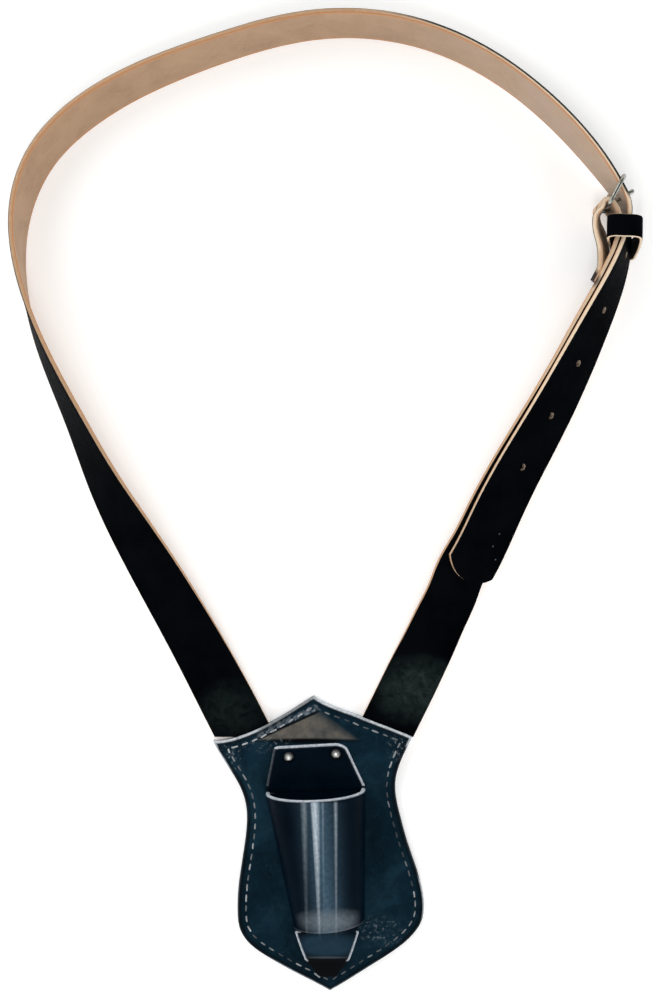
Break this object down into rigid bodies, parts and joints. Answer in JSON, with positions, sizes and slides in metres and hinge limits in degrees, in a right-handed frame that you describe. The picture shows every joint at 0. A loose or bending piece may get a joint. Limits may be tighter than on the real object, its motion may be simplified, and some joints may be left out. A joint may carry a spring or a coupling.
{
  "type": "leather pole carrier sling",
  "caption": "Adjustable leather neck strap with a roller-less bar buckle, joined to a shield plate that carries a tapered leather cup for the foot of a pole.",
  "frame": {"origin": "middle of the shield, on the flat back face that rests against the body or the table", "axes": "+Y from the shield towards the top of the neck loop, +Z out of the front of the shield, +X to the right seen from the front"},
  "size_m": [0.4322, 0.6761, 0.0471],
  "materials": {
    "plate_leather": "satin, smooth grain",
    "strap_leather": "satin black grain, tan flesh side",
    "nickel": "bright nickel plate",
    "thread": "waxed grey thread"
  },
  "bodies": {
    "sling": {"shield_back_plate": "plate_leather", "shield_front_plate": "plate_leather", "perimeter_stitching": "thread", "long_strap": "strap_leather", "short_strap": "strap_leather", "chape_rivets": "nickel", "cup_sleeve": "plate_leather", "cup_floor_tongue": "plate_leather", "cup_rivets": "nickel", "cup_rivet_burrs": "nickel"},
    "buckle": {"buckle_frame": "nickel"},
    "prong": {"buckle_prong": "nickel"},
    "keeper": {"keeper_loop": "strap_leather"}
  },
  "joints": [
    {"name": "buckle_swing", "type": "hinge", "parent": "sling", "child": "buckle", "pos_m": [0.1908, 0.4399, 0.0237], "axis": [0, 0, 1], "range_deg": [-17, 1]},
    {"name": "prong_swing", "type": "hinge", "parent": "sling", "child": "prong", "pos_m": [0.1908, 0.4399, 0.0238], "axis": [0, 0, 1], "range_deg": [-4, 3]},
    {"name": "keeper_slide", "type": "slide", "parent": "sling", "child": "keeper", "axis": [0.02, 0.9998, 0], "range_m": [-0.002, 0.003]}
  ]
}
